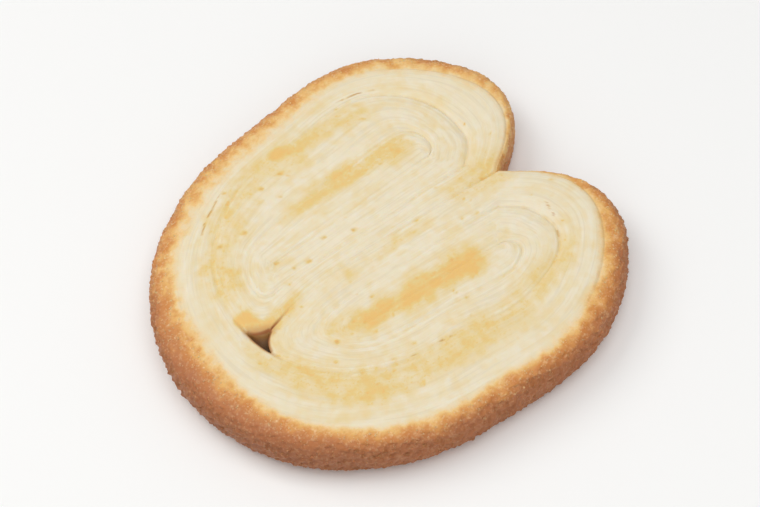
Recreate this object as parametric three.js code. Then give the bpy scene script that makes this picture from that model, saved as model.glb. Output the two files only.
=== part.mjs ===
// A palmier: a slice of a sheet of flaky dough that was rolled in from both sides, baked with sugar.
// One closed solid, in millimetres. +Z is up, the closed end of the slice is at -X and the cleft
// between its two ears at +X. The origin is the middle of the underside.
//
// Seen from above, one strip of dough makes the whole slice. It wraps the closed end, runs out along
// both sides, turns in at the ears, comes back along the middle line and then winds round the core
// of each half. Every point of a half is found from two numbers: its station round the lobe, and its
// level, which is -1 at the rim of the slice, 0 at the lobe's edge and 2 at the core line.

import * as THREE from 'three';
import { mergeVertices } from 'three/addons/utils/BufferGeometryUtils.js';

const { degToRad, lerp, clamp } = THREE.MathUtils;

// ---- driving sizes ----

const THICKNESS = 10.4; // underside to the crowns of the laps
const TOP_SWELL = { height: 0.5, from: 42, to: 10 }; // the lobes stand this much above the rim
const TOP_WAVES = { height: 0.18, span: 9 }; // and the whole face is a little uneven

// every 30 degrees from +X through +Y: the distance of the rim from the middle, the width of the wrap,
// and how far the crust swells out past the rim
const RIM_RADII = [40, 44, 44, 37, 37.2, 40.8, 43.2, 43.2, 40.8, 38.6, 42, 43];
const WRAP_WIDTHS = [9, 8, 6.8, 5.8, 5, 7.4, 10.4, 11.6, 12.2, 12, 10.5, 9];
const BULGES = [4.6, 4.6, 5, 5.8, 6, 5.5, 5, 4.8, 4.6, 4.6, 4.6, 4.6];

const CLEFT = { depth: 0.3, halfAngle: degToRad(11), sharpness: 1.5 }; // depth as a share of the rim
const SPINE_ANGLE = degToRad(188); // where the halves part at the closed end
const EAR = { from: degToRad(62), to: degToRad(16) }; // the wrap turns in between these, off +X
const MIDDLE = { y: -0.4, bend: 4.2, bendFrom: -12, bendTo: -32 }; // the line between the halves
const LOBE_CORNER = { rounding: 6, from: -5, to: -20 }; // leaves the hole where three laps meet
const CLOSED_GAP = 0.4; // laps nearer to each other than this are baked together

// core line of each half, and the share of the way to it taken by the lobe's outer lap, at the
// closed end, on the outer side and along the middle. One way round a lobe runs from 0 to 1, and
// each share takes over from the one before it between two points of that way.
const HALVES = [
  { side: 1, tip: [-19.7, 8.5], end: [19, 11], share: { closed: 0.5, outer: 0.6, middle: 0.42 } },
  { side: -1, tip: [-13.5, -13.7], end: [17, -15], share: { closed: 0.5, outer: 0.5, middle: 0.5 } },
];
const CORE_LEVEL = 2;
const OUTER_WAY = 0.6; // the part of the way that is on the outer side
const SHARE_CHANGES = { outer: [0.05, 0.2], middle: [0.45, 0.65], closed: [0.85, 1] };

// the seams are grooves: everywhere this deep, and deeper round the hole and between the ears
const SEAM_DEPTH = 0.3;
const HOLE_SEAM = { x: -30, y: -4, depth: 0.9, reach: 6 };
const EAR_SEAM = { depth: 0.6, from: 8, to: 34 };
const FULL_CROWN_WIDTH = 4; // narrower laps have lower crowns

// stations round a half, and where the core line's two ends come among them
const OUTER_STATIONS = 62;
const MIDDLE_STATIONS = 34;
const CORE_STEPS = 22;
const OUTER_CORE_START = 17;
const MIDDLE_CORE_START = 5;

const BISECTIONS = 40; // halvings that find a lobe's edge
const WELD = 1e-3; // points nearer than this are one point

const LAP_ROWS = [0, 0.13, 0.37, 0.63, 0.87, 1]; // across one lap, from seam to seam
const LAP_COUNT = 3;

// the crust swells least in the cleft, and its side is craggy
const CLEFT_BULGE = { loss: 0.85, halfAngle: 1.6 * CLEFT.halfAngle };
const CRAGS = [
  { height: 0.34, around: 9, down: 2.3 },
  { height: 0.34, around: 23, down: 5.1 },
];

// side of the crust, from the rim down: share of the bulge, and share of the height
const CRUST_PROFILE = [
  [0.3, 0.985],
  [0.62, 0.94],
  [0.88, 0.82],
  [1, 0.6],
  [0.96, 0.32],
  [0.8, 0.13],
  [0.55, 0],
];

// ---- plan ----

// a smooth closed curve through values spaced evenly round the circle
function around(values, angle) {
  const count = values.length;
  const turns = angle / (2 * Math.PI);
  const place = (turns - Math.floor(turns)) * count;
  const index = Math.floor(place) % count;
  const f = place - Math.floor(place);
  const [a, b, c, d] = [-1, 0, 1, 2].map((step) => values[(index + step + count) % count]);
  const linear = (c - a) * f;
  const square = (2 * a - 5 * b + 4 * c - d) * f * f;
  const cube = (3 * b - a - 3 * c + d) * f * f * f;
  return 0.5 * (2 * b + linear + square + cube);
}

// 0 at one value and 1 at the other, in whichever order they come
function ease(from, to, x) {
  const f = clamp((x - from) / (to - from), 0, 1);
  return f * f * (3 - 2 * f);
}

function angleOffFront(angle) {
  return Math.abs(Math.atan2(Math.sin(angle), Math.cos(angle)));
}

function rimRadius(angle) {
  const off = angleOffFront(angle) / CLEFT.halfAngle;
  return around(RIM_RADII, angle) * (1 - CLEFT.depth * Math.exp(-(off ** CLEFT.sharpness)));
}

// 0 while the strip is still the wrap, 1 once it has turned in at the ear
function turnedIn(angle) {
  return ease(EAR.from, EAR.to, angleOffFront(angle));
}

function wallRadius(angle) {
  return rimRadius(angle) - around(WRAP_WIDTHS, angle) * (1 - turnedIn(angle));
}

function middleY(x) {
  const bent = clamp((MIDDLE.bendFrom - x) / (MIDDLE.bendFrom - MIDDLE.bendTo), 0, 1);
  return MIDDLE.y - MIDDLE.bend * bent ** 1.5;
}

function polar(radius, angle) {
  return [radius * Math.cos(angle), radius * Math.sin(angle)];
}

function mix(p, q, f) {
  return [lerp(p[0], q[0], f), lerp(p[1], q[1], f)];
}

function distance(p, q) {
  return Math.hypot(p[0] - q[0], p[1] - q[1]);
}

// below zero inside the lobe, whose corner beside the hole is rounded
function outsideLobe(half, [x, y]) {
  const pastWall = Math.hypot(x, y) - wallRadius(Math.atan2(y, x));
  const pastMiddle = -half.side * (y - middleY(x));
  const rounding = LOBE_CORNER.rounding * ease(LOBE_CORNER.from, LOBE_CORNER.to, x) + WELD;
  const near = Math.max(rounding - Math.abs(pastWall - pastMiddle), 0);
  return Math.max(pastWall, pastMiddle) + (near * near) / (4 * rounding);
}

function lobeEdge(half, core, corner) {
  if (outsideLobe(half, corner) < WELD) return corner;
  let inner = 0;
  let outer = 1;
  for (let step = 0; step < BISECTIONS; step += 1) {
    const trial = (inner + outer) / 2;
    if (outsideLobe(half, mix(core, corner, trial)) < 0) inner = trial;
    else outer = trial;
  }
  const edge = mix(core, corner, inner);
  return distance(edge, corner) < CLOSED_GAP ? corner : edge;
}

// share of the way to the core that the lobe's outer lap takes, by the way round the lobe
function outerLapShare(share, way) {
  const towardsOuter = (share.outer - share.closed) * ease(...SHARE_CHANGES.outer, way);
  const towardsMiddle = (share.middle - share.outer) * ease(...SHARE_CHANGES.middle, way);
  const backToClosed = (share.closed - share.middle) * ease(...SHARE_CHANGES.closed, way);
  return share.closed + towardsOuter + towardsMiddle + backToClosed;
}

function makeStations(half) {
  const stations = [];
  const lastAngle = half.side > 0 ? 0 : 2 * Math.PI;
  const add = (rim, wall, coreSteps, turned, way) => {
    const core = mix(half.tip, half.end, clamp(coreSteps / CORE_STEPS, 0, 1));
    const lobe = lobeEdge(half, core, wall);
    stations.push({ rim, wall, lobe, core, turned, share: outerLapShare(half.share, way) });
  };
  for (let i = 0; i <= OUTER_STATIONS; i += 1) {
    const f = i / OUTER_STATIONS;
    const angle = lerp(SPINE_ANGLE, lastAngle, f);
    const rim = polar(rimRadius(angle), angle);
    const wall = polar(wallRadius(angle), angle);
    add(rim, wall, i - OUTER_CORE_START, turnedIn(angle), OUTER_WAY * f);
  }
  const xStart = rimRadius(0);
  const xStop = polar(wallRadius(SPINE_ANGLE), SPINE_ANGLE)[0];
  for (let j = 1; j <= MIDDLE_STATIONS; j += 1) {
    const f = j / MIDDLE_STATIONS;
    const x = lerp(xStart, xStop, f);
    const line = [x, middleY(x)];
    add(line, line, MIDDLE_CORE_START + CORE_STEPS - j, 1, lerp(OUTER_WAY, 1, f));
  }
  stations.at(-1).lobe = stations[0].lobe;
  return stations;
}

// point of the plan at a station and a level
function atLevel(station, level) {
  if (level < 0) return mix(station.wall, station.rim, -level / (1 - station.turned));
  const step = Math.min(level, CORE_LEVEL);
  const { share } = station;
  const inward = step < 1 ? step * share : share + (step - 1) * (1 - share);
  return mix(station.lobe, station.core, inward);
}

// point across one lap of the strip, at a station
function acrossLap(station, lap, across) {
  if (lap === 0 && station.turned === 0) return mix(station.rim, station.wall, across);
  return atLevel(station, lap - 1 + across + station.turned);
}

// the last lap runs out at the core line, so there it is narrower than the rows across it
function shareOfLap(station, lap, across) {
  if (lap < LAP_COUNT - 1) return across;
  return station.turned < 1 ? Math.min(across / (1 - station.turned), 1) : 1;
}

// ---- relief ----

function seamDepth(x, y) {
  const fromHole = Math.hypot(x - HOLE_SEAM.x, y - HOLE_SEAM.y) / HOLE_SEAM.reach;
  const atHole = HOLE_SEAM.depth * Math.exp(-fromHole * fromHole);
  return SEAM_DEPTH + atHole + EAR_SEAM.depth * ease(EAR_SEAM.from, EAR_SEAM.to, x);
}

// an even mix of three crossing waves, between -1 and 1
function waves(u, v) {
  return (Math.sin(3.1 * u + 1.7 * v) + Math.sin(5.3 * u - 2.9 * v + 1.3)
    + Math.sin(8.9 * u + 4.1 * v + 0.4)) / 3;
}

// the crown of a lap is as high as its width allows, so it sinks where the strip runs out
function topHeight(x, y, across, lapWidth) {
  const crown = Math.min(1, lapWidth / FULL_CROWN_WIDTH) * Math.sqrt(Math.sin(Math.PI * across));
  const swell = TOP_SWELL.height * (ease(TOP_SWELL.from, TOP_SWELL.to, Math.hypot(x, y)) - 1);
  const uneven = TOP_WAVES.height * waves(x / TOP_WAVES.span, y / TOP_WAVES.span);
  return THICKNESS + swell + uneven - seamDepth(x, y) * (1 - crown);
}

function bulgeAt(angle) {
  const off = angleOffFront(angle) / CLEFT_BULGE.halfAngle;
  return around(BULGES, angle) * (1 - CLEFT_BULGE.loss * Math.exp(-off * off));
}

function crag(angle, height) {
  const each = CRAGS.map((kind) => kind.height * waves(angle * kind.around, height * kind.down));
  return each[0] + each[1];
}

// ---- mesh ----

// Triangles are lists of three points each. The shared points are welded at the end.
function samePoint(p, q) {
  return distance(p, q) < WELD / 10 && Math.abs(p[2] - q[2]) < WELD / 10;
}

function addTriangle(triangles, a, b, c) {
  if (samePoint(a, b) || samePoint(b, c) || samePoint(c, a)) return;
  triangles.push([a, b, c]);
}

function addQuad(triangles, a, b, c, d) {
  addTriangle(triangles, a, b, c);
  addTriangle(triangles, a, c, d);
}

// the strip of one half, lap after lap, as seen from above
function addHalf(triangles, half) {
  const stations = makeStations(half);
  const rows = [];
  for (let lap = 0; lap < LAP_COUNT; lap += 1) {
    for (const station of stations) {
      const lapWidth = distance(acrossLap(station, lap, 0), acrossLap(station, lap, 1));
      rows.push(LAP_ROWS.map((across) => {
        const [x, y] = acrossLap(station, lap, across);
        return [x, y, topHeight(x, y, shareOfLap(station, lap, across), lapWidth)];
      }));
    }
  }
  for (let r = 1; r < rows.length; r += 1) {
    for (let c = 1; c < LAP_ROWS.length; c += 1) {
      const [a, b] = [rows[r - 1][c - 1], rows[r][c - 1]];
      const [d, e] = [rows[r - 1][c], rows[r][c]];
      if (half.side > 0) addQuad(triangles, a, d, e, b);
      else addQuad(triangles, a, b, e, d);
    }
  }
}

// the closed loops of edges that only one triangle uses, in the direction that it uses them
function findOpenLoops(triangles) {
  const name = (point) => point.map((value) => Math.round(value / (WELD / 10))).join();
  const nextAlong = new Map();
  for (const triangle of triangles) {
    triangle.forEach((point, i) => {
      const next = triangle[(i + 1) % 3];
      const [from, to] = [name(point), name(next)];
      if (nextAlong.get(to)?.has(from)) nextAlong.get(to).delete(from);
      else nextAlong.set(from, (nextAlong.get(from) ?? new Map()).set(to, point));
    });
  }
  const loops = [];
  for (const start of nextAlong.keys()) {
    const loop = [];
    let here = start;
    while (nextAlong.get(here)?.size) {
      const [[to, point]] = nextAlong.get(here);
      nextAlong.get(here).delete(to);
      loop.push(point);
      here = to;
    }
    if (loop.length) loops.push(loop);
  }
  return loops.sort((p, q) => q.length - p.length);
}

// skirts of quads that hang from a loop of the top, ring under ring
function addSkirt(triangles, rings) {
  for (let r = 1; r < rings.length; r += 1) {
    const [above, below] = [rings[r - 1], rings[r]];
    above.forEach((point, i) => {
      const next = (i + 1) % above.length;
      addQuad(triangles, above[next], point, below[i], below[next]);
    });
  }
}

function crustRing(rimLoop, [out, up]) {
  return rimLoop.map(([x, y, z]) => {
    const angle = Math.atan2(y, x);
    const height = z * up;
    const radius = Math.hypot(x, y) + out * (bulgeAt(angle) + crag(angle, height));
    return [...polar(radius, angle), height];
  });
}

function addUnderside(triangles, outline, hole) {
  const flat = (loop) => loop.map(([x, y]) => new THREE.Vector2(x, y));
  const points = [...outline, ...hole];
  for (const [a, b, c] of THREE.ShapeUtils.triangulateShape(flat(outline), [flat(hole)])) {
    addTriangle(triangles, points[a], points[c], points[b]);
  }
}

function makeSlice() {
  const triangles = [];
  for (const half of HALVES) addHalf(triangles, half);
  const [rimLoop, holeLoop] = findOpenLoops(triangles);

  const crust = [rimLoop, ...CRUST_PROFILE.map((step) => crustRing(rimLoop, step))];
  const holeFoot = holeLoop.map(([x, y]) => [x, y, 0]);
  addSkirt(triangles, crust);
  addSkirt(triangles, [holeLoop, holeFoot]);
  addUnderside(triangles, crust.at(-1), holeFoot);

  const geometry = new THREE.BufferGeometry();
  geometry.setAttribute('position', new THREE.Float32BufferAttribute(triangles.flat(2), 3));
  const slice = mergeVertices(geometry, WELD);
  slice.computeBoundingBox();
  const middle = slice.boundingBox.getCenter(new THREE.Vector3());
  slice.translate(-middle.x, -middle.y, -slice.boundingBox.min.z);
  slice.computeVertexNormals();
  return slice;
}

const dough = new THREE.MeshStandardMaterial({ color: 0xe3bd7d, roughness: 0.8, metalness: 0 });

const palmier = new THREE.Mesh(makeSlice(), dough);
palmier.name = 'palmier';

const pastry = new THREE.Group();
pastry.add(palmier);

export default pastry;
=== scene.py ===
# %% [markdown]
# # A palmier
#
# A palmier is a slice of a sheet of flaky dough that was rolled in from both sides, dipped in
# sugar and baked. Its two faces are pale and show the edges of the folded layers. The side of
# the slice is the outside of the sheet, which swells and browns into a sugared crust.
#
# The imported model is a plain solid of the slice. This lesson loads it as a fixed frame, and then
# lays one fine continuous mesh over it, dresses that in baked dough, and strews sugar on it.

# %% Load the frame
import math
import random
from types import SimpleNamespace

import bmesh
import bpy
from mathutils import Matrix, Quaternion, Vector, noise
from mathutils.kdtree import KDTree


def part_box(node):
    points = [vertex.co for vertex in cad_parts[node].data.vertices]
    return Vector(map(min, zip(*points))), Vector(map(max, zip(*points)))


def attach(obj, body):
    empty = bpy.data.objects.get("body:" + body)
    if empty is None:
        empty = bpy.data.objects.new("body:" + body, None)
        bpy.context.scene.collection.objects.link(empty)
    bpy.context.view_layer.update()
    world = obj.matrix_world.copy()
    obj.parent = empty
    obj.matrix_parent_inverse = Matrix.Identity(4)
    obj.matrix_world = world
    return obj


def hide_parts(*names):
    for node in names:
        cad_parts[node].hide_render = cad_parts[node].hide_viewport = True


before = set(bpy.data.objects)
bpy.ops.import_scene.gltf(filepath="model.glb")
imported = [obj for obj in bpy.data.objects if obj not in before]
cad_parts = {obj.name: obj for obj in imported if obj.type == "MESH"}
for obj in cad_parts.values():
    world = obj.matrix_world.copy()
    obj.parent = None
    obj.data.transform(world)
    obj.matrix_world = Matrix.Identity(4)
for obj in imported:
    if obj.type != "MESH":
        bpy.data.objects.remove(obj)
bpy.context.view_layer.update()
slice_low, slice_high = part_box("palmier")

MM = 0.001
THICKNESS = (slice_high.z - slice_low.z) / MM
print("slice, mm:", [round(side / MM, 2) for side in slice_high - slice_low])

# %% [markdown]
# ## The plan
#
# Seen from above, one strip of dough makes the whole slice. It wraps the closed end, runs out
# along both sides, turns in at the two ears, comes back along the middle line, and then winds
# round the core of each half. A shape like this could be sculpted, or drawn as curves and filled.
# A formula is chosen here, because every point then knows how far along the strip and how far
# across it lies, and the layers of the dough can follow the folds.
#
# All sizes are in millimetres until the mesh is finished. The closed end is at -X.

# %% Outline of the slice
# every 30 degrees from +X to +Y: the distance of the rim from the middle, the width of the wrap and
# how far the crust swells past the rim
RIM_RADII = (40, 44, 44, 37, 37.2, 40.8, 43.2, 43.2, 40.8, 38.6, 42, 43)
WRAP_WIDTHS = (9, 8, 6.8, 5.8, 5, 7.4, 10.4, 11.6, 12.2, 12, 10.5, 9)
BULGES = (4.6, 4.6, 5, 5.8, 6, 5.5, 5, 4.8, 4.6, 4.6, 4.6, 4.6)

CLEFT_DEPTH = 0.3
CLEFT_HALF_ANGLE = math.radians(11)
CLEFT_SHARPNESS = 1.5
SPINE_ANGLE = math.radians(188)
EAR_FROM, EAR_TO = math.radians(62), math.radians(16)


def between(start, stop, f):
    return start + (stop - start) * f


def ease(start, stop, x):
    """0 before start, 1 past stop, and a smooth step between them."""
    f = min(max((x - start) / (stop - start), 0), 1)
    return f * f * (3 - 2 * f)


def hump(gap, width):
    """1 where the gap is 0, falling to 0 on both sides."""
    return math.exp(-(gap / width) ** 2)


def curve_between(a, b, c, d, f):
    """The point at f on the way from b to c, on a smooth curve through all four."""
    cubic = (3 * b - a - 3 * c + d) * f ** 3
    return 0.5 * (2 * b + (c - a) * f + (2 * a - 5 * b + 4 * c - d) * f * f + cubic)


def around(values, angle):
    """A smooth closed curve through values spaced evenly round the circle."""
    place = angle / math.tau % 1 * len(values)
    first = int(place)
    four = (values[(first + step) % len(values)] for step in (-1, 0, 1, 2))
    return curve_between(*four, place - first)


def off_front(angle):
    return abs(math.atan2(math.sin(angle), math.cos(angle)))


def rim_radius(angle):
    off = off_front(angle) / CLEFT_HALF_ANGLE
    return around(RIM_RADII, angle) * (1 - CLEFT_DEPTH * math.exp(-off ** CLEFT_SHARPNESS))


def turned_in(angle):
    """0 while the strip is still the wrap, 1 once it has turned in at the ear."""
    return ease(EAR_FROM, EAR_TO, off_front(angle))


def wall_radius(angle):
    return rim_radius(angle) - around(WRAP_WIDTHS, angle) * (1 - turned_in(angle))


def polar(radius, angle):
    return Vector((radius * math.cos(angle), radius * math.sin(angle)))


print("wrap at the closed end, mm:", round(around(WRAP_WIDTHS, SPINE_ANGLE), 1))

# %% The two lobes
# The middle line parts the halves and bends where it meets the closed end.
MIDDLE_Y = -0.4
MIDDLE_BEND = 4.2
BEND_FROM, BEND_TO = -12, -32
CORNER_ROUNDING = 6
ROUNDING_FROM, ROUNDING_TO = -5, -20
CLOSED_GAP = 0.4
TOUCHING = 1e-3

# the side of the middle line, both ends of the core line, and the share of the way to the core that
# the outer lap takes at the closed end, along the outside and along the middle line
HALVES = (
    SimpleNamespace(side=1, tip=Vector((-19.7, 8.5)), end=Vector((19, 11)),
                    shares=(0.5, 0.6, 0.42)),
    SimpleNamespace(side=-1, tip=Vector((-13.5, -13.7)), end=Vector((17, -15)),
                    shares=(0.5, 0.5, 0.5)),
)
CLOSED_TO_OUTER, OUTER_TO_MIDDLE, MIDDLE_TO_CLOSED = (0.05, 0.2), (0.45, 0.65), (0.85, 1)
BISECTIONS = 40


def middle_y(x):
    bent = min(max((BEND_FROM - x) / (BEND_FROM - BEND_TO), 0), 1)
    return MIDDLE_Y - MIDDLE_BEND * bent ** 1.5


def outside_lobe(half, point):
    """Below zero inside the lobe, whose corner beside the hole is rounded."""
    past_wall = point.length - wall_radius(math.atan2(point.y, point.x))
    past_middle = -half.side * (point.y - middle_y(point.x))
    rounding = CORNER_ROUNDING * ease(ROUNDING_FROM, ROUNDING_TO, point.x) + TOUCHING
    near = max(rounding - abs(past_wall - past_middle), 0)
    return max(past_wall, past_middle) + near * near / (4 * rounding)


def lobe_edge(half, core, corner):
    """The lobe's edge on the way from its core to a corner of the plan."""
    if outside_lobe(half, corner) < TOUCHING:
        return corner
    inner, outer = 0, 1
    for _ in range(BISECTIONS):
        trial = (inner + outer) / 2
        if outside_lobe(half, core.lerp(corner, trial)) < 0:
            inner = trial
        else:
            outer = trial
    edge = core.lerp(corner, inner)
    return corner if (edge - corner).length < CLOSED_GAP else edge


def outer_lap_share(shares, way):
    """Share of the way to the core that a lobe's outer lap takes."""
    closed, outer, middle = shares
    share = closed + (outer - closed) * ease(*CLOSED_TO_OUTER, way)
    share += (middle - outer) * ease(*OUTER_TO_MIDDLE, way)
    return share + (closed - middle) * ease(*MIDDLE_TO_CLOSED, way)


# %% [markdown]
# ## Stations and laps
#
# A station is one place on the way round a half. It knows the rim, the wall of the wrap, the edge
# of the lobe and the foot on the core line. A lap is one turn of the strip. Three laps make a
# half: the wrap, and two that wind inwards, one place further in at every turn.

# %% Stations round a half
LAPS = 3
CORE_LEVEL = 2
OUTER_WAY = 0.6
OUTER_STATIONS, MIDDLE_STATIONS = 62, 34
CORE_STEPS, OUTER_CORE_START, MIDDLE_CORE_START = 22, 17, 5
LAP_LENGTH = 200
LAP_WIDTH = 10


def make_stations(half, fineness):
    """Stations from the spine out along the side to the cleft, and back along the middle line."""
    stations = []
    outer_steps, middle_steps = OUTER_STATIONS * fineness, MIDDLE_STATIONS * fineness
    core_steps = CORE_STEPS * fineness

    def add(rim, wall, core_step, turned, way):
        core = half.tip.lerp(half.end, min(max(core_step / core_steps, 0), 1))
        lobe = lobe_edge(half, core, wall)
        share = outer_lap_share(half.shares, way)
        stations.append(SimpleNamespace(
            rim=rim, wall=wall, lobe=lobe, core=core, turned=turned, share=share, way=way))

    last_angle = 0 if half.side > 0 else math.tau
    for i in range(outer_steps + 1):
        f = i / outer_steps
        angle = between(SPINE_ANGLE, last_angle, f)
        rim, wall = polar(rim_radius(angle), angle), polar(wall_radius(angle), angle)
        add(rim, wall, i - OUTER_CORE_START * fineness, turned_in(angle), OUTER_WAY * f)

    x_start, x_stop = rim_radius(0), polar(wall_radius(SPINE_ANGLE), SPINE_ANGLE).x
    for j in range(1, middle_steps + 1):
        f = j / middle_steps
        x = between(x_start, x_stop, f)
        line = Vector((x, middle_y(x)))
        core_step = (MIDDLE_CORE_START + CORE_STEPS) * fineness - j
        add(line, line, core_step, 1, OUTER_WAY + (1 - OUTER_WAY) * f)
    stations[-1].lobe = stations[0].lobe
    return stations


def at_level(station, level):
    """A point of the plan: level -1 is the rim, 0 the lobe's edge and 2 the core line."""
    if level < 0:
        return station.wall.lerp(station.rim, -level / (1 - station.turned))
    step = min(level, CORE_LEVEL)
    share = station.share
    inward = step * share if step < 1 else share + (step - 1) * (1 - share)
    return station.lobe.lerp(station.core, inward)


def across_lap(station, lap, across):
    if lap == 0 and station.turned == 0:
        return station.rim.lerp(station.wall, across)
    return at_level(station, lap - 1 + across + station.turned)


def share_of_lap(station, lap, across):
    """The last lap runs out at the core line, so there it is narrower than its rows."""
    if lap < LAPS - 1:
        return across
    return min(across / (1 - station.turned), 1) if station.turned < 1 else 1


print("stations of a half at fineness 1:", len(make_stations(HALVES[0], 1)))

# %% [markdown]
# ## Relief of the face
#
# The face is nearly flat. What gives it life is small: the laps are a little crowned, the seams
# between them open only near the hole and in the cleft, the cut layers stand up here and there by a
# tenth of a millimetre, the edge of one pale flake curls up along the near lobe, and steam has left
# pits and cracks. Each of these is a height in millimetres. The seams are kept shallow, because
# deep ones would look carved.

# %% Seams, layers, pits and cracks
HOLE_CENTRE = Vector((-30, -4))
HOLE_SEAM_REACH, HOLE_GROOVE, HOLE_CREASE = 5.5, 0.15, 0.4
EAR_SEAM_FROM, EAR_SEAM_TO, EAR_GROOVE, EAR_CREASE = 8, 36, 0.4, 0.25
CROWN_HEIGHT = 0.2
FULL_CROWN_WIDTH = 4
PARTED_SIZE, RAISED_SIZE = 4, 8
GROOVE_WIDTH, CREASE_WIDTH = 1.1, 0.22
SEAM_CREASE = 0.1
SEAM_REACH = 0.5
LIP_HEIGHT, LIP_PLACE, LIP_WIDTH = 0.11, 0.55, 0.35
SWELL, SWELL_FROM, SWELL_TO = 0.5, 42, 10
UNEVEN_HEIGHT, UNEVEN_SIZE = 0.3, 13
# how far the layers wander across the strip, and the length, width and pattern of each wave
LAYER_WAVES = ((1.4, (15, 8), 2.5), (0.7, (5, 3), 0.7))
LAYER_HEIGHT, LAYER_SIZE = 0.09, (20, 2.3)
EDGE_HEIGHT, EDGE_SIZE, EDGE_SHARPNESS = 0.06, (12, 2.1), 0.13
STANDING_SIZE = (7, 3)
PUFF_HEIGHT, PUFF_SIZE = 0.09, 1.5
CRACKS = (
    SimpleNamespace(path=((-29.3, 21.2), (-25.3, 25.2), (-21.2, 28.1), (-19.1, 29.6)),
                    width=0.18, depth=0.15),
    SimpleNamespace(path=((-11, -25.1), (-8.6, -25.4)), width=0.16, depth=0.2),
    SimpleNamespace(path=((-5.2, -25.7), (-2.2, -26.2)), width=0.2, depth=0.2),
    SimpleNamespace(path=((12.5, 34.6), (17.5, 34.0), (21.6, 32.3)), width=0.18, depth=0.15),
    SimpleNamespace(path=((27.5, -20.4), (29.8, -15.8), (30.6, -11.4)), width=0.18, depth=0.15),
)
FLAKE_EDGES = (
    SimpleNamespace(path=((-30.8, -13.4), (-27.6, -18.2), (-23.4, -21.6), (-19, -23), (-15, -24),
                          (-11.6, -23.6)),
                    width=0.26, depth=-0.16),
)
LINE_WAVE, LINE_WAVE_SIZE, LINE_BREAK_SIZE = 0.3, 1.6, 1.3
LINE_REACH = 4
PIT_PLACES = ((-11.9, 25.4), (-6.9, 26.2), (-20.4, 18.2), (-19.4, 8.3), (-8.8, 7.4), (-14.1, 4.6),
              (-3.1, 5.3), (-26, 18.6), (-20.2, -14))
PIT_COUNT, PIT_REACH = 110, 36
PIT_SIZES, PLACED_PIT_SIZE = (0.2, 0.6), 0.75
PIT_WIDTH, PIT_STRENGTH, PIT_DEPTH = 0.7, 1.4, 0.2
PIT_SEARCH = 1.5
random.seed(5)


def patches(u, v, layer):
    """Smooth noise of two coordinates, between -1 and 1. Each layer has a pattern of its own."""
    return noise.noise(Vector((u, v, layer)))


def plan_patches(point, size, layer):
    return patches(point.x / size, point.y / size, layer)


def strip_patches(along, across, size, layer):
    return patches(along / size[0], across / size[1], layer)


def off_path(point, path):
    """Distance of a point from a path of straight stretches, and how far along it that is."""
    best, best_way = math.inf, 0
    for i in range(len(path) - 1):
        start, stop = Vector(path[i]), Vector(path[i + 1])
        stretch = stop - start
        f = min(max((point - start).dot(stretch) / stretch.length_squared, 0), 1)
        gap = (point - start - stretch * f).length
        if gap < best:
            best, best_way = gap, (i + f) / (len(path) - 1)
    return best, best_way


pits = KDTree(PIT_COUNT)
pit_sizes = []
for index in range(PIT_COUNT):
    spot = polar(PIT_REACH * math.sqrt(random.random()), random.uniform(0, math.tau))
    size = random.uniform(*PIT_SIZES)
    if index < len(PIT_PLACES):
        spot, size = Vector(PIT_PLACES[index]), PLACED_PIT_SIZE
    pits.insert(spot.to_3d(), index)
    pit_sizes.append(size)
pits.balance()


def pit_mark(point):
    """1 at the bottom of a pit, 0 outside every pit."""
    mark = 0
    for _, index, gap in pits.find_range(point.to_3d(), PIT_SEARCH):
        size = pit_sizes[index]
        mark = max(mark, hump(gap, PIT_WIDTH * size) * min(1, PIT_STRENGTH * size))
    return mark


def line_mark(point, lines):
    """How much of a broken line a point of the plan has, and its depth there in millimetres."""
    strongest, depth = 0, 0
    wavy = Vector((plan_patches(point, LINE_WAVE_SIZE, 3.3), 0)) * LINE_WAVE
    for line in lines:
        gap, way = off_path(point + wavy, line.path)
        if gap < LINE_REACH * line.width:
            broken = ease(-0.2, 0.2, plan_patches(point, LINE_BREAK_SIZE, 9.2))
            taper = math.sin(math.pi * min(max(way, 0.04), 0.96)) ** 0.5
            mark = taper * broken * hump(gap, line.width)
            if mark > strongest:
                strongest, depth = mark, mark * line.depth
    return strongest, depth


def seam_opening(point):
    """How far a seam has opened at a point: about 1 by the hole, and in the cleft."""
    by_hole = hump((point - HOLE_CENTRE).length, HOLE_SEAM_REACH)
    in_cleft = ease(EAR_SEAM_FROM, EAR_SEAM_TO, point.x)
    return by_hole, in_cleft


def layer_relief(along, across):
    """The cut edges of the layers, which stand up in patches as they run along the strip."""
    place = across
    for amount, size, layer in LAYER_WAVES:
        place += amount * strip_patches(along, across, size, layer)
    broad = strip_patches(along, place, LAYER_SIZE, 8.1)
    edge = max(1 - abs(strip_patches(along, place, EDGE_SIZE, 4.3)) / EDGE_SHARPNESS, 0)
    standing = ease(-0.2, 0.3, strip_patches(along, place, STANDING_SIZE, 6.4))
    return LAYER_HEIGHT * broad + EDGE_HEIGHT * standing * edge


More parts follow.
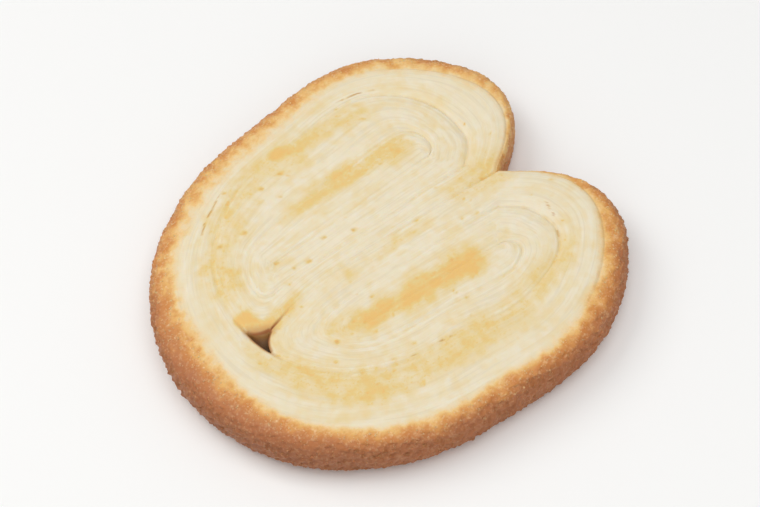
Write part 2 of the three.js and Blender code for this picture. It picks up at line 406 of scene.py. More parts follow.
def face_height(point, across, width, along):
    """The height of the face at a place, and how far its layers and its lips stand up there."""
    by_hole, in_cleft = seam_opening(point)
    nearest = min(across, 1 - across) * width
    full = min(1, width / FULL_CROWN_WIDTH)
    crown = CROWN_HEIGHT * full * (1 - (2 * across - 1) ** 2)
    groove = (HOLE_GROOVE * by_hole + EAR_GROOVE * in_cleft) * hump(nearest, GROOVE_WIDTH)
    parted = ease(0.05, 0.45, plan_patches(point, PARTED_SIZE, 7.7))
    crease = HOLE_CREASE * by_hole + EAR_CREASE * in_cleft + SEAM_CREASE * parted
    crease *= hump(nearest, CREASE_WIDTH)
    inside = 1 - hump(nearest, SEAM_REACH)
    raised = ease(-0.2, 0.4, plan_patches(point, RAISED_SIZE, 2.9))
    lip = LIP_HEIGHT * full * inside * raised * hump(nearest - LIP_PLACE, LIP_WIDTH)
    lip -= line_mark(point, FLAKE_EDGES)[1]
    swell = SWELL * (ease(SWELL_FROM, SWELL_TO, point.length) - 1)
    uneven = UNEVEN_HEIGHT * plan_patches(point, UNEVEN_SIZE, 1.2)
    layers = inside * layer_relief(along, across * LAP_WIDTH)
    layers += PUFF_HEIGHT * plan_patches(point, PUFF_SIZE, 5.1)
    height = THICKNESS - CROWN_HEIGHT + crown - groove - crease + lip + swell + uneven + layers
    height -= PIT_DEPTH * pit_mark(point) + line_mark(point, CRACKS)[1]
    return height, layers + lip


# %% [markdown]
# ## Colour of the face
#
# Where laps meet, sugar and steam have left the dough yellow or golden. The core of the near lobe
# and the lip above the hole are the most golden of all. The crust is browner on the near side,
# which faces away from the main light, than on the far side; this is partly uneven baking and
# partly painted shade. At the closed end the brown creeps in over the rim. The colours are made
# later by nodes, but where they go is a matter of the folds, so each vertex carries five numbers:
# how far beyond the rim it lies, how far it has browned, with the near side's painted shade, how
# golden it is, how dark it is painted, with brown and with painted shade in open seams, and how far
# its layer stands up.

# %% Golden streaks, and painted shade in open seams
# each runs along its path, and its half width and its strength change from the start to the end
GOLDEN_STREAKS = (
    # the cores of the far and the near lobe
    SimpleNamespace(path=((-12.7, 16.1), (-7.1, 16.3), (-3.8, 17.2), (2.5, 17.6), (15, 16.4)),
                    widths=(1.6, 3), strengths=(0.3, 0.9)),
    SimpleNamespace(path=((-19.5, -11.5), (-14.6, -12.6), (-10.9, -13.7)),
                    widths=(2.4, 1.8), strengths=(0.4, 0.7)),
    SimpleNamespace(path=((-12.4, -13.6), (-6.1, -14.4), (0.9, -14.4), (10, -15.2)),
                    widths=(2.1, 3.2), strengths=(1.2, 1.25)),
    # the outer lap of the far lobe, and its lip above the hole
    SimpleNamespace(path=((-30.4, 9), (-29.5, 14.6), (-25, 19.4), (-18.1, 25), (-11.3, 28.6),
                          (-2.6, 29)),
                    widths=(3.6, 4.2), strengths=(0.6, 0.45)),
    SimpleNamespace(path=((-5.5, 31), (-0.7, 29.8), (4.3, 29.7), (15, 29)),
                    widths=(1.7, 2.6), strengths=(1.1, 0.4)),
    SimpleNamespace(path=((-31.4, 1), (-30.4, -1.6), (-28.9, -3.1), (-25.3, -2.6), (-21, -0.8)),
                    widths=(2.1, 1.6), strengths=(1.7, 0.5)),
    # the wrap of the near lobe
    SimpleNamespace(path=((-32.4, -4), (-31, -11), (-29.3, -16), (-26, -21.5), (-20, -26.5)),
                    widths=(3.4, 4.6), strengths=(0.48, 0.66)),
    SimpleNamespace(path=((-20, -26.5), (-14.6, -28), (-8, -28.7), (9, -29.5), (27, -24)),
                    widths=(4.5, 4), strengths=(0.74, 0.4)),
    # the middle, and the throat of the cleft
    SimpleNamespace(path=((-10, -3.3), (0.7, -2.7), (9, -2.4)),
                    widths=(1.4, 2), strengths=(0.25, 0.5)),
    SimpleNamespace(path=((18, 0), (28, 0)), widths=(2.5, 4.5), strengths=(0.5, 0.7)),
)
GOLD_SHARPNESS = 2.6
RAGGEDNESS, RAGGED_SIZE = 0.8, 3.5
# painted shade along the edge of the lip above the hole, where it rounds down into the hole
LIP_SHADE_PATH, LIP_SHADE_WIDTH = ((-32.2, -1.8), (-30.3, -3), (-28.8, -3.7)), 1.4
PIT_GOLD, CRACK_GOLD = 1.1, 0.8
SEAM_GOLD, SEAM_GOLD_WIDTH = 0.05, 0.6
# painted shade in the seams that open by the hole and in the cleft, and on the lip's edge
HOLE_SEAM_SHADE, CLEFT_SEAM_SHADE, LIP_SHADE_DARKNESS = 1.2, 0.2, 0.55
PIT_DARK, CRACK_DARK = 0.26, 0.65

# every 30 degrees from +X to +Y: how far the browning has crept in over the rim, in millimetres,
# and how fast it deepens outwards. It deepens fastest on the near side, which faces away from the
# main light; that is partly uneven baking and partly painted shade
BROWN_CREEP = (0, -0.2, -0.4, -0.6, -0.7, -0.5, 2.7, 0.7, -0.6, -0.6, -0.1, 0.1)
BROWN_AND_SIDE_SHADE_SPEED = (0.9, 0.7, 0.6, 0.55, 0.55, 0.75, 0.85, 1.5, 1.4, 1.3, 1.15, 1)
# how much further the browning has crept in over the underside, which lay on the baking tray
UNDER_CREEP = 2.5


def golden_mark(point, nearest):
    """How golden the dough is at a point whose nearest seam is given."""
    golden = 0
    ragged = Vector([plan_patches(point, RAGGED_SIZE, layer) for layer in (1.7, 8.8)])
    for streak in GOLDEN_STREAKS:
        gap, way = off_path(point + RAGGEDNESS * ragged, streak.path)
        width, strength = between(*streak.widths, way), between(*streak.strengths, way)
        golden = max(golden, strength * math.exp(-(gap / width) ** GOLD_SHARPNESS))
    golden += PIT_GOLD * pit_mark(point) + CRACK_GOLD * line_mark(point, CRACKS)[0]
    return golden + SEAM_GOLD * hump(nearest, SEAM_GOLD_WIDTH)


def dark_and_shade_mark(point, nearest):
    """Brown in pits and cracks, and painted shade in open seams and on the lip above the hole."""
    by_hole, in_cleft = seam_opening(point)
    seam_shade = HOLE_SEAM_SHADE * by_hole ** 1.5 + CLEFT_SEAM_SHADE * in_cleft
    seam_shade *= hump(nearest, 2 * CREASE_WIDTH)
    lip_shade = LIP_SHADE_DARKNESS * hump(off_path(point, LIP_SHADE_PATH)[0], LIP_SHADE_WIDTH)
    dark_and_shade = max(seam_shade, lip_shade) + PIT_DARK * pit_mark(point)
    return min(1, dark_and_shade + CRACK_DARK * line_mark(point, CRACKS)[0])


def beyond_rim(point):
    return point.length - rim_radius(math.atan2(point.y, point.x))


def brown_and_side_shade(run, angle):
    """How deep a place has browned, with painted shade on the near side, from how far beyond the
    rim it lies along the surface.
    """
    return (run + around(BROWN_CREEP, angle)) * around(BROWN_AND_SIDE_SHADE_SPEED, angle)


print("golden at the core of the near lobe:", round(golden_mark(Vector((-5, -14.8)), 3), 2))

# %% [markdown]
# ## Laying the strip
#
# Each half starts as one flat grid: its columns are the stations of all three laps, and its rows
# go across the lap. Every vertex is then moved onto the fold path. Where laps touch, their edges
# fall on each other and are welded, so the face becomes one sheet with a hole in it. The UV map is
# written before the weld, in millimetres along and across the strip, so that the layers of the
# dough can run with the folds.

# %% Lay one half of a face
MARKS = ("beyond_rim", "brown_and_side_shade", "golden", "dark_and_shade", "relief")
SEAM_CROWDING = 0.07


def mark_layers(mesh):
    return {name: mesh.verts.layers.float.get(name) or mesh.verts.layers.float.new(name)
            for name in MARKS}


def lay_half(half, fineness, rows, height, creep):
    """One half of a face, with its height given by a function of the place."""
    stations = make_stations(half, fineness)
    columns = LAPS * len(stations)
    strip = bmesh.new()
    bmesh.ops.create_grid(strip, x_segments=columns - 1, y_segments=rows, size=1)
    strip.verts.index_update()
    marks = mark_layers(strip)
    uv = strip.loops.layers.uv.new("layers")
    places = {}
    for vert in strip.verts:
        row, column = divmod(vert.index, columns)
        lap, index = divmod(column, len(stations))
        station = stations[index]
        rise = row / rows
        across = rise - SEAM_CROWDING * math.sin(math.tau * rise)
        point = across_lap(station, lap, across)
        width = (across_lap(station, lap, 1) - across_lap(station, lap, 0)).length
        along = half.side * (lap + station.way) * LAP_LENGTH
        share = share_of_lap(station, lap, across)
        nearest = min(share, 1 - share) * width
        level, relief = height(point, share, width, along)
        vert.co = point.x, point.y, level
        places[vert.index] = (along, share * LAP_WIDTH)
        vert[marks["relief"]] = relief
        vert[marks["beyond_rim"]] = beyond_rim(point)
        vert[marks["brown_and_side_shade"]] = brown_and_side_shade(beyond_rim(point) + creep, math.atan2(point.y, point.x))
        vert[marks["golden"]] = golden_mark(point, nearest)
        vert[marks["dark_and_shade"]] = dark_and_shade_mark(point, nearest)
    for face in strip.faces:
        for loop in face.loops:
            loop[uv].uv = places[loop.vert.index]
    return strip


def move_into(mesh, part):
    """Adds one bmesh to another, and frees the one that was added."""
    copy = bpy.data.meshes.new("copy")
    part.to_mesh(copy)
    part.free()
    mesh.from_mesh(copy)
    bpy.data.meshes.remove(copy)


def lay_face(fineness, rows, height, creep=0):
    """Both halves, welded along their seams, with the normals up."""
    face = bmesh.new()
    for half in HALVES:
        move_into(face, lay_half(half, fineness, rows, height, creep))
    bmesh.ops.remove_doubles(face, verts=face.verts, dist=TOUCHING)
    bmesh.ops.recalc_face_normals(face, faces=face.faces)
    if sum(f.normal.z for f in face.faces) < 0:
        bmesh.ops.reverse_faces(face, faces=face.faces)
    return face


FINENESS, ROWS = ((3, 30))
slice_mesh = lay_face(FINENESS, ROWS, face_height)
print("upper face:", len(slice_mesh.verts), "vertices,", len(slice_mesh.faces), "faces")

# %% [markdown]
# ## The crust
#
# The side of the slice is the outside of the dough sheet. It swells past the rim of the face,
# most of all at the closed end, and its sugar has melted into lumps. It could be a separate band,
# but the real crust has no joint with the face, so it is drawn out of the rim: the open edge is
# extruded ring by ring, and each ring is set out and down along a profile. Every vertex keeps the
# place of the rim point that it came from, in a layer that extruding copies.

# %% Find the open loops
def open_loops(mesh):
    """The open edges of a sheet, in connected groups, the longest first."""
    left = {edge for edge in mesh.edges if edge.is_boundary}
    loops = []
    while left:
        loop, front = [], [left.pop()]
        while front:
            edge = front.pop()
            loop.append(edge)
            for vert in edge.verts:
                near = [other for other in vert.link_edges if other in left]
                left.difference_update(near)
                front.extend(near)
        loops.append(loop)
    return sorted(loops, key=len, reverse=True)


rim_loop, hole_loop = open_loops(slice_mesh)
bmesh.ops.subdivide_edges(slice_mesh, edges=rim_loop, cuts=1)
rim_loop, hole_loop = open_loops(slice_mesh)
print("rim:", len(rim_loop), "edges, hole:", len(hole_loop), "edges")

# %% Draw the crust out of the rim
CLEFT_BULGE_LOSS, CLEFT_BULGE_ANGLE = 0.85, math.radians(17.6)
CRAG_HEIGHT = 0.34
CRUST_START, BROWNING_DOWN, TUCKED_FROM = 0.02, 0.6, 0.85

# share of the bulge and share of the height, from the rim down and in under the slice
CRUST_PROFILE = ((0, 1), (0.3, 0.985), (0.62, 0.94), (0.88, 0.82), (1, 0.6), (0.96, 0.32),
                 (0.8, 0.13), (0.55, 0), (0.1, 0))
RINGS = 42


def bulge_at(angle):
    """How far the crust swells past the rim. It swells least inside the cleft."""
    loss = CLEFT_BULGE_LOSS * hump(off_front(angle), CLEFT_BULGE_ANGLE)
    return around(BULGES, angle) * (1 - loss)


def waves(u, v):
    """An even mix of three crossing waves, between -1 and 1."""
    return (math.sin(3.1 * u + 1.7 * v) + math.sin(5.3 * u - 2.9 * v + 1.3)
            + math.sin(8.9 * u + 4.1 * v + 0.4)) / 3


def crag(angle, height):
    return CRAG_HEIGHT * (waves(9 * angle, 2.3 * height) + waves(23 * angle, 5.1 * height))


def along_profile(f):
    """A smooth curve through the profile's points, by the share of them passed."""
    last = len(CRUST_PROFILE) - 1
    place = f * last
    first = min(int(place), last - 1)
    four = [Vector(CRUST_PROFILE[min(max(first + step, 0), last)]) for step in (-1, 0, 1, 2)]
    return curve_between(*four, place - first)


def draw_out(mesh, loop, rings, place):
    """Extrudes a loop again and again, and returns the new vertices, each set by place."""
    layers = mesh.verts.layers.float_vector
    foot_layer = layers.get("foot") or layers.new("foot")
    for edge in loop:
        for vert in edge.verts:
            vert[foot_layer] = vert.co
    made = []
    for ring in range(1, rings + 1):
        new = bmesh.ops.extrude_edge_only(mesh, edges=loop)["geom"]
        verts = [part for part in new if isinstance(part, bmesh.types.BMVert)]
        loop = [part for part in new
                if isinstance(part, bmesh.types.BMEdge) and part.is_boundary]
        for vert in verts:
            place(vert, vert[foot_layer], ring / rings)
        made.extend(verts)
    return made


marks = mark_layers(slice_mesh)


def place_crust(vert, foot, f):
    """Sets a vertex of the crust, at share f of the way down the profile from its foot."""
    out, up = along_profile(f)
    angle = math.atan2(foot.y, foot.x)
    height = max(foot.z * up, 0)
    bulge = bulge_at(angle)
    side = polar(foot.xy.length + out * (bulge + crag(angle, height)), angle)
    vert.co = side.x, side.y, height
    run = max(out * bulge, CRUST_START) + (1 - up) * foot.z * BROWNING_DOWN
    run += (UNDER_CREEP - run) * ease(TUCKED_FROM, 1, f)
    vert[marks["beyond_rim"]], vert[marks["brown_and_side_shade"]] = run, brown_and_side_shade(run, angle)
    vert[marks["golden"]] = vert[marks["dark_and_shade"]] = vert[marks["relief"]] = 0


crust_verts = draw_out(slice_mesh, rim_loop, RINGS, place_crust)
print("crust:", len(crust_verts), "vertices in", RINGS, "rings")

# %% Sink the hole
HOLE_RINGS = 14
HOLE_NARROWING, HOLE_BOTTOM = 0.25, 0.3
HOLE_WOBBLE, HOLE_WOBBLE_SIZE = 0.25, 2
HOLE_LIP_DARK, HOLE_DEEP_PAINTED_LIGHT = 0.55, 0.2


def place_hole(vert, foot, f):
    """Sets a vertex of the hole's wall, at share f of the way down from its foot."""
    inward = (HOLE_CENTRE - foot.xy) * HOLE_NARROWING * math.sin(math.pi * f)
    wobble = HOLE_WOBBLE * plan_patches(foot, HOLE_WOBBLE_SIZE, 5 * f)
    side = foot.xy + inward * (1 + wobble)
    vert.co = side.x, side.y, foot.z * (1 - f) + HOLE_BOTTOM * f
    vert[marks["golden"]] = 1 - ease(0.1, 0.4, f)
    # the wall is brown below its edge, and painted lighter deeper down: painted light against the
    # shade inside the narrow hole
    vert[marks["dark_and_shade"]] = HOLE_LIP_DARK * ease(0, 0.1, f) - HOLE_DEEP_PAINTED_LIGHT * ease(0.2, 0.6, f)


hole_verts = draw_out(slice_mesh, hole_loop, HOLE_RINGS, place_hole)
print("hole wall:", len(hole_verts), "vertices")

# %% [markdown]
# ## The underside
#
# The slice was baked on this face, so it is flatter, but it shows the same folds, and the browning
# has crept further in at its rim. It is laid by the same function as the upper face, with a coarser
# grid, turned over, and bridged to the foot of the crust and to the foot of the hole.

# %% Lay the underside and close the slice
UNDER_FINENESS, UNDER_ROWS = ((2, 12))
UNDER_GROOVE, UNDER_HOLE_GROOVE, UNDER_CLEFT_GROOVE = 0.25, 0.8, 0.5
UNDER_RIM_WIDTH = 3
BAKED_RELIEF, BAKED_SIZE = 0.25, 7


def underside_height(point, across, width, along):
    """The height of the underside, which touches the floor at its rim, and its relief."""
    by_hole, in_cleft = seam_opening(point)
    nearest = min(across, 1 - across) * width
    opening = UNDER_GROOVE + UNDER_HOLE_GROOVE * by_hole + UNDER_CLEFT_GROOVE * in_cleft
    groove = opening * hump(nearest, 2 * CREASE_WIDTH)
    edge = ease(0, UNDER_RIM_WIDTH, -beyond_rim(point))
    relief = 1 + plan_patches(point, BAKED_SIZE, 6.6)
    layers = layer_relief(along, across * LAP_WIDTH) * (1 - hump(nearest, SEAM_REACH))
    return edge * (groove + BAKED_RELIEF * relief / 2 + max(layers, 0)), -layers


underside = lay_face(UNDER_FINENESS, UNDER_ROWS, underside_height, UNDER_CREEP)
bmesh.ops.reverse_faces(underside, faces=underside.faces)
move_into(slice_mesh, underside)
loops = open_loops(slice_mesh)
print("open loops before bridging:", [len(loop) for loop in loops])
for pair in ((loops[0], loops[1]), (loops[2], loops[3])):
    bmesh.ops.bridge_loops(slice_mesh, edges=[edge for loop in pair for edge in loop])
bmesh.ops.recalc_face_normals(slice_mesh, faces=slice_mesh.faces)
if slice_mesh.calc_volume(signed=True) < 0:
    bmesh.ops.reverse_faces(slice_mesh, faces=slice_mesh.faces)
open_edges = sum(1 for edge in slice_mesh.edges if not edge.is_manifold)
triangles = sum(len(face.verts) - 2 for face in slice_mesh.faces)
print("slice closed:", open_edges == 0, "volume, cm3:", round(slice_mesh.calc_volume() / 1000, 1),
      "triangles:", triangles)

# %% [markdown]
# ## Sugar lumps in the crust
#
# Sugar that melted on the side has set in lumps about a millimetre across. A bump in the material
# would vanish at the outline, so the lumps are pushed out along the normals of the mesh. A cell
# pattern makes the lumps, a slower noise gathers them and swells the crust, and a fine one adds
# grit.

# %% Roughen the crust
LUMP_SIZE, LUMP_HEIGHT, LUMP_NARROWNESS, LUMP_SINK = 1.1, 0.09, 1.6, 0.4
SWELL_SIZE, SWELL_HEIGHT = 3.2, 0.25
GATHER_SIZE, GATHER_MEAN, GATHER_CHANGE = 1.5 * SWELL_SIZE, 0.6, 0.8
GRIT_SIZE, GRIT_HEIGHT = 0.42, 0.04
ROUGH_FROM, ROUGH_TO = -0.6, 1.6
FLOOR_FADE, FLOOR_START = 1.2, 0.4


def lump_height(point):
    nearest = noise.voronoi(point / LUMP_SIZE)[0][0]
    gather = GATHER_MEAN + GATHER_CHANGE * noise.noise(point / GATHER_SIZE)
    lump = max(0, 1 - nearest * nearest * LUMP_NARROWNESS) - LUMP_SINK
    swell = SWELL_HEIGHT * noise.noise(point / SWELL_SIZE)
    return LUMP_HEIGHT * gather * lump + swell + GRIT_HEIGHT * noise.noise(point / GRIT_SIZE)


slice_mesh.normal_update()
shifts = {}
for vert in slice_mesh.verts:
    amount = ease(ROUGH_FROM, ROUGH_TO, vert[marks["beyond_rim"]])
    amount *= ease(0, FLOOR_FADE, vert.co.z + FLOOR_START)
    if amount > 0:
        shifts[vert] = lump_height(vert.co) * amount
for vert, shift in shifts.items():
    vert.co += vert.normal * shift
    vert[marks["relief"]] += shift
    vert.co.z = max(vert.co.z, 0)
print("roughened vertices:", len(shifts))

# %% Fit the slice to its place in the frame
SUGAR_ROOM = 0.15 * MM


def box_of(mesh):
    low = Vector([min(vert.co[axis] for vert in mesh.verts) for axis in range(3)])
    high = Vector([max(vert.co[axis] for vert in mesh.verts) for axis in range(3)])
    return low, high


raw_low, raw_high = box_of(slice_mesh)
room = Vector((SUGAR_ROOM, SUGAR_ROOM, 0))
wanted = slice_high - slice_low - 2 * room
scale = Vector([wanted[axis] / (raw_high - raw_low)[axis] for axis in range(3)])
bmesh.ops.translate(slice_mesh, verts=slice_mesh.verts, vec=-raw_low)
bmesh.ops.scale(slice_mesh, verts=slice_mesh.verts, vec=scale)
bmesh.ops.translate(slice_mesh, verts=slice_mesh.verts, vec=slice_low + room)
print("scaled to metres by", [round(step / MM, 4) for step in scale])


def finish_piece(mesh, name, smooth=True):
    """Turns a bmesh into a named object."""
    data = bpy.data.meshes.new(name)
    mesh.to_mesh(data)
    piece = bpy.data.objects.new(name, data)
    bpy.context.scene.collection.objects.link(piece)
    for polygon in data.polygons:
        polygon.use_smooth = smooth
    return piece


palmier = finish_piece(slice_mesh, "palmier_slice")
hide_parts("palmier")
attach(palmier, "root")
print(palmier.name, "stands for the solid")

# %% [markdown]
# ## Baked dough
#
# The material has to read as thin pale layers on the faces, and as caramelised sugar on the side.
# One material does both, because on the real slice the one fades into the other within two
# millimetres. Noise that is stretched along the strip by the UV map draws the layers, as soft
# bands and thin lines, and paints long grey arcs of shade between them. The numbers on the
# vertices say where the dough is golden, where it is painted dark with brown or with painted shade,
# and where it is crust.

# %% Small helpers for nodes
def srgb(red, green, blue):
    """A colour as seen on a screen, 0 to 255, as the linear colour that nodes take."""
    def linear(value):
        value /= 255
        return value / 12.92 if value <= 0.04045 else ((value + 0.055) / 1.055) ** 2.4
    return linear(red), linear(green), linear(blue), 1


def set_inputs(tree, node, inputs):
    """Sets inputs, given by name or number, each to a value or to the output to link."""
    for name, value in inputs.items():
        if isinstance(value, bpy.types.NodeSocket):
            tree.links.new(value, node.inputs[name])
        else:
            node.inputs[name].default_value = value


def add_node(tree, kind, inputs=None, **settings):
    node = tree.nodes.new(kind)
    for name, value in settings.items():
        setattr(node, name, value)
    set_inputs(tree, node, inputs or {})
    return node


def maths(tree, operation, first, second):
    node = add_node(tree, "ShaderNodeMath", {0: first, 1: second}, operation=operation)
    return node.outputs[0]


def weighted(tree, *parts):
    """The sum of values, each times its weight."""
    total = 0
    for value, weight in parts:
        total = add_node(tree, "ShaderNodeMath", {0: value, 1: weight, 2: total},
                         operation="MULTIPLY_ADD").outputs[0]
    return total


def spread(tree, value, low, high, to_low=0, to_high=1):
    """Stretches the range low to high onto to_low to to_high, and clamps it."""
    inputs = {"Value": value, "From Min": low, "From Max": high,
              "To Min": to_low, "To Max": to_high}
    return add_node(tree, "ShaderNodeMapRange", inputs, clamp=True).outputs["Result"]


def mixed(tree, factor, first, second):
    return add_node(tree, "ShaderNodeMix", {0: factor, 6: first, 7: second},
                    data_type="RGBA").outputs[2]


def stages(tree, value, stops):
    """A colour ramp through (value, colour) stops."""
    low, high = stops[0][0], stops[-1][0]
    node = add_node(tree, "ShaderNodeValToRGB", {"Fac": spread(tree, value, low, high)})
    elements = node.color_ramp.elements
    while len(elements) < len(stops):
        elements.new(0.5)
    for element, (stop, colour) in zip(elements, stops):
        element.position = (stop - low) / (high - low)
        element.color = colour
    return node.outputs["Color"]


def noise_at(tree, place, scale, detail=2, roughness=0.5, distortion=0):
    inputs = {"Vector": place, "Scale": scale, "Detail": detail, "Roughness": roughness,
              "Distortion": distortion}
    return add_node(tree, "ShaderNodeTexNoise", inputs).outputs[0]


def stretched(tree, place, scale):
    return add_node(tree, "ShaderNodeMapping", {"Vector": place, "Scale": scale}).outputs[0]


def new_material(name):
    material = bpy.data.materials.new(name)
    material.use_nodes = True
    tree = material.node_tree
    return material, tree, tree.nodes["Principled BSDF"]


# %% The dough's material
PALE = srgb(236, 227, 205)
# grey of the painted shade arcs along the layers
ARC_SHADE_GREY = srgb(219, 206, 178)
CREAM = srgb(232, 217, 181)
YELLOW = srgb(230, 203, 137)
GOLD = srgb(234, 193, 119)
CRUST_STAGES = (
    (-1.5, srgb(236, 217, 176)), (0, srgb(237, 202, 140)), (0.8, srgb(231, 181, 107)),
    (1.6, srgb(220, 160, 89)), (2.6, srgb(209, 143, 78)), (3.6, srgb(196, 129, 74)),
    (5, srgb(180, 113, 70)), (12, srgb(156, 96, 62)))
CRUST_PALE = srgb(240, 204, 156)
CARAMEL = srgb(210, 134, 58)
# brown of pits, cracks and the hole's wall, also used as painted shade in open seams
BROWN_AND_SEAM_SHADE = srgb(178, 118, 74)
NOISE_LOW, NOISE_HIGH = 0.36, 0.66

dough, tree, shader = new_material("baked_dough")
place = add_node(tree, "ShaderNodeTexCoord").outputs["Object"]
strip_place = add_node(tree, "ShaderNodeUVMap", uv_map="layers").outputs["UV"]
mark = {name: add_node(tree, "ShaderNodeAttribute", attribute_name=name).outputs["Fac"]
        for name in MARKS}

# layers: bands and lines that run along the strip and wander across it, and arcs of painted shade
# that follow them. The scales of the three noises after them count patches to the metre.
broad_lines = noise_at(tree, stretched(tree, strip_place, (0.04, 0.8, 1)), 1, 3, 0.6, 0.8)
thin_lines = noise_at(tree, stretched(tree, strip_place, (0.2, 1.7, 1)), 1, 3, 0.6, 1)
long_lines = noise_at(tree, stretched(tree, strip_place, (0.07, 1.4, 1)), 1, 2, 0.5, 0.6)
blotches = noise_at(tree, place, 120, 3, 0.55)
mottle = noise_at(tree, place, 420, 3, 0.55)
speckle = noise_at(tree, place, 1300, 2, 0.6)
streaks = spread(tree, weighted(tree, (broad_lines, 0.75), (thin_lines, 0.25)), 0.34, 0.66)
clouds = spread(tree, blotches, NOISE_LOW, NOISE_HIGH)
flecks = spread(tree, mottle, NOISE_LOW, NOISE_HIGH)
ridges = spread(tree, mark["relief"], -0.05, 0.1)
paleness = weighted(tree, (streaks, 0.4), (ridges, 0.4), (flecks, 0.35))
face_colour = mixed(tree, paleness, CREAM, PALE)
# painted shade: soft grey arcs along the layers, drawn as colour where grooves would shade
shade_arcs = spread(tree, long_lines, 0.47, 0.36, 0, 0.38)
face_colour = mixed(tree, shade_arcs, face_colour, ARC_SHADE_GREY)
uneven_gold = spread(tree, mottle, NOISE_LOW, NOISE_HIGH, 0.78, 1.05)
mottled_gold = maths(tree, "MULTIPLY", mark["golden"], uneven_gold)
spots = maths(tree, "MULTIPLY", mark["golden"], spread(tree, speckle, 0.56, 0.7))
yellowness = weighted(tree, (mottled_gold, 1), (clouds, 0.35), (flecks, 0.25), (streaks, -0.2),
                      (ridges, -0.3), (spots, 0.5))
face_colour = mixed(tree, spread(tree, yellowness, 0, 0.75), face_colour, YELLOW)
face_colour = mixed(tree, spread(tree, yellowness, 0.7, 1.25), face_colour, GOLD)

# crust: the rim wanders, and turns golden first and brown further out, with patches of caramel
# and a pale bloom of sugar
wander = weighted(tree, (clouds, 1.2), (flecks, 1.4), (speckle, 0.7), (mark["relief"], -1.5))
wander = maths(tree, "MULTIPLY", maths(tree, "SUBTRACT", wander, 1.65),
               spread(tree, mark["brown_and_side_shade"], -1, 4, 0.5, 1.5))
out = maths(tree, "ADD", wander, mark["brown_and_side_shade"])
grains = add_node(tree, "ShaderNodeTexVoronoi", {"Vector": place, "Scale": 1500})
grain = grains.outputs["Distance"]
grit = noise_at(tree, place, 2600, 2, 0.6)
crust_colour = stages(tree, out, CRUST_STAGES)
sparkle = maths(tree, "MULTIPLY", spread(tree, grain, 0.42, 0.16),
                spread(tree, grit, 0.4, 0.62, 0, 0.45))
bloom = spread(tree, speckle, 0.52, 0.7, 0, 0.4)
frost = maths(tree, "MULTIPLY", maths(tree, "ADD", sparkle, bloom),
              spread(tree, out, 2, 7, 1, 0.35))
caramel = weighted(tree, (spread(tree, out, 0.3, 2, 0, 0.5), 1),
                   (spread(tree, out, 4, 7.5, 0, 0.4), -1))
caramel = maths(tree, "MULTIPLY", caramel, spread(tree, mottle, 0.46, 0.62))
crust_colour = mixed(tree, caramel, crust_colour, CARAMEL)
crust_colour = mixed(tree, frost, crust_colour, CRUST_PALE)
crust_colour = mixed(tree, spread(tree, grit, 0.5, 0.3, 0, 0.15), crust_colour, BROWN_AND_SEAM_SHADE)
colour = mixed(tree, spread(tree, out, -1.8, 0.1), face_colour, crust_colour)
# darker: brown in pits, cracks and the hole's wall, and painted shade in open seams and on the lip
# above the hole
colour = mixed(tree, spread(tree, mark["dark_and_shade"], 0.1, 0.9), colour, BROWN_AND_SEAM_SHADE)

crust_share = spread(tree, out, 0, 1.6)
relief = weighted(tree, (thin_lines, 0.2), (mottle, 0.4), (speckle, 0.3))
crust_relief = weighted(tree, (grain, -0.9), (grit, 0.7), (speckle, 0.5))
relief = add_node(tree, "ShaderNodeMix", {0: crust_share, 2: relief, 3: crust_relief}).outputs[0]
bump = add_node(tree, "ShaderNodeBump", {"Height": relief, "Strength": 0.35, "Distance": 0.2 * MM})
set_inputs(tree, shader, {
    "Base Color": colour, "Roughness": spread(tree, crust_share, 0, 1, 0.7, 0.5),
    "Normal": bump.outputs["Normal"], "Specular IOR Level": 0.35, "Subsurface Weight": 0.3,
    "Subsurface Radius": (1.0, 0.7, 0.4), "Subsurface Scale": 1.0 * MM})
palmier.data.materials.append(dough)
print(dough.name, "with", len(tree.nodes), "nodes")

# %% [markdown]
# ## Sugar grains
#
# The sugar that didn't melt still sits in the crust as cloudy grains. Real grains are small
# blocks with worn corners, so one block is made, and thousands of turned copies of it are sunk
# into the crust. They are one joined mesh, because each is far too small to be a piece by itself.

# %% Sow the sugar
GRAIN_COUNT = 3200
GRAIN_SIZES = (0.12 * MM, 0.36 * MM)
GRAIN_STRETCH = (0.75, 1.25)
GRAIN_SINK = (0.1, 0.4)
WORN_CORNER = 0.22
SUGARED_FROM, SUGARED_ABOVE = 0.8, 0.6 * MM
random.seed(11)

# sorted by place, because the order of faces in the mesh is not the same in every run
crust_faces = [face for face in slice_mesh.faces
               if min(vert[marks["brown_and_side_shade"]] for vert in face.verts) > SUGARED_FROM
               and face.calc_center_median().z > SUGARED_ABOVE]
crust_faces.sort(key=lambda face: tuple(face.calc_center_median()))
areas = [face.calc_area() for face in crust_faces]

block = bmesh.new()
bmesh.ops.create_cube(block, size=1)
bmesh.ops.bevel(block, geom=block.verts[:], offset=WORN_CORNER, offset_type="OFFSET",
                affect="VERTICES", segments=1, profile=0.5, material=-1)
print("one grain:", len(block.faces), "faces")

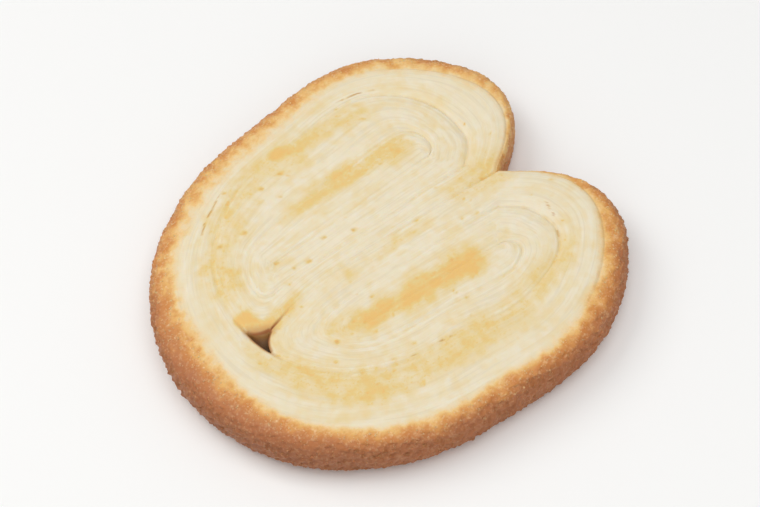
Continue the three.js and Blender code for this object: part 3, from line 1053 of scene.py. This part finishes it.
sugar_mesh = bmesh.new()
grain_brown_and_shade = []
for face in random.choices(crust_faces, weights=areas, k=GRAIN_COUNT):
    size = random.triangular(*GRAIN_SIZES, GRAIN_SIZES[0])
    sides = [size * random.uniform(*GRAIN_STRETCH) for _ in range(3)]
    turn = Quaternion(Vector([random.gauss(0, 1) for _ in range(3)]), random.uniform(0, math.pi))
    spot = face.calc_center_median() - face.normal * size * random.uniform(*GRAIN_SINK)
    matrix = Matrix.LocRotScale(spot, turn, Vector(sides))
    one = bpy.data.meshes.new("grain")
    block.to_mesh(one)
    one.transform(matrix)
    sugar_mesh.from_mesh(one)
    bpy.data.meshes.remove(one)
    # each grain takes the browning of its face, with the near side's painted shade
    grain_brown_and_shade.extend([face.verts[0][marks["brown_and_side_shade"]]] * len(block.verts))
sugar = finish_piece(sugar_mesh, "sugar_grains", smooth=False)
sugar.data.attributes.new("brown_and_side_shade", "FLOAT", "POINT").data.foreach_set("value", grain_brown_and_shade)
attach(sugar, "root")
print("sugar:", GRAIN_COUNT, "grains,", len(sugar_mesh.faces), "faces")

# %% The sugar's material
SUGAR_WHITE = srgb(243, 208, 152)
SUGAR_AMBER = srgb(186, 128, 84)
glaze, tree, shader = new_material("cloudy_sugar")
place = add_node(tree, "ShaderNodeTexCoord").outputs["Object"]
tint = noise_at(tree, place, 900, 1, 0.5)
brown_and_shade_of_grain = add_node(tree, "ShaderNodeAttribute", attribute_name="brown_and_side_shade").outputs["Fac"]
amber = weighted(tree, (brown_and_shade_of_grain, 0.25), (tint, 2))
set_inputs(tree, shader, {
    "Base Color": mixed(tree, spread(tree, amber, 0.8, 2.7), SUGAR_WHITE, SUGAR_AMBER),
    "Roughness": spread(tree, noise_at(tree, place, 2500), 0.3, 0.7, 0.25, 0.5),
    "Specular IOR Level": 0.3, "Subsurface Weight": 0.4, "Subsurface Scale": 0.5 * MM})
sugar.data.materials.append(glaze)
slice_mesh.free()
sugar_mesh.free()
block.free()

# %% [markdown]
# ## Table, light and camera
#
# A plain pale table and large soft lights suit a thing whose charm is in shallow relief. The main
# light comes low enough from behind to graze the layers, and a weak one fills the near side.

# %% Table
TABLE_SIZE = 6
table_mesh = bmesh.new()
bmesh.ops.create_grid(table_mesh, x_segments=1, y_segments=1, size=TABLE_SIZE / 2)
bmesh.ops.translate(table_mesh, verts=table_mesh.verts, vec=(0, 0, slice_low.z))
table = finish_piece(table_mesh, "table")
table_mesh.free()
table_paint, tree, shader = new_material("white_table")
place = add_node(tree, "ShaderNodeTexCoord").outputs["Object"]
cloud = noise_at(tree, place, 3)
table_white = mixed(tree, cloud, srgb(246, 246, 245), srgb(250, 250, 249))
set_inputs(tree, shader, {"Base Color": table_white, "Roughness": 0.6})
table.data.materials.append(table_paint)

# %% Lights
ROOM_LIGHT = 0.42


def soft_light(name, size, power, spot, colour):
    """A square light that faces the slice."""
    data = bpy.data.lights.new(name, "AREA")
    data.size, data.energy, data.color = size, power, colour
    light = bpy.data.objects.new(name, data)
    light.location = spot
    light.rotation_mode = "QUATERNION"
    light.rotation_quaternion = (-Vector(spot)).to_track_quat("-Z", "Y")
    bpy.context.scene.collection.objects.link(light)


soft_light("window", 0.6, 2.7, (-0.3, 0.5, 0.7), (1, 0.99, 0.97))
soft_light("ceiling", 0.8, 3.4, (0.1, -0.15, 0.95), (1, 1, 1))
soft_light("fill", 0.6, 1.2, (-0.45, -0.6, 0.45), (1, 0.99, 0.97))

world = bpy.data.worlds.new("room")
world.use_nodes = True
set_inputs(world.node_tree, world.node_tree.nodes["Background"],
           {"Color": (1, 1, 1, 1), "Strength": ROOM_LIGHT})
bpy.context.scene.world = world

bpy.context.scene.view_settings.view_transform = "Standard"

# %% Camera
AZIMUTH, ELEVATION, ROLL = math.radians(-28.2), math.radians(54.8), math.radians(-8.5)
DISTANCE = 0.3296
AIM_SHIFT = Vector((0.0022, 0, 0))
LENS, NEAREST_SEEN = 80, 0.01
look = Vector((-math.sin(AZIMUTH) * math.cos(ELEVATION), math.cos(AZIMUTH) * math.cos(ELEVATION),
               -math.sin(ELEVATION)))
aim = (slice_low + slice_high) / 2 + AIM_SHIFT
camera_data = bpy.data.cameras.new("camera")
camera_data.lens, camera_data.clip_start = LENS, NEAREST_SEEN
camera = bpy.data.objects.new("camera", camera_data)
camera.location = aim - look * DISTANCE
camera.rotation_mode = "QUATERNION"
camera.rotation_quaternion = look.to_track_quat("-Z", "Y") @ Quaternion((0, 0, 1), ROLL)
bpy.context.scene.collection.objects.link(camera)
bpy.context.scene.camera = camera
print("camera at", [round(step, 3) for step in camera.location])
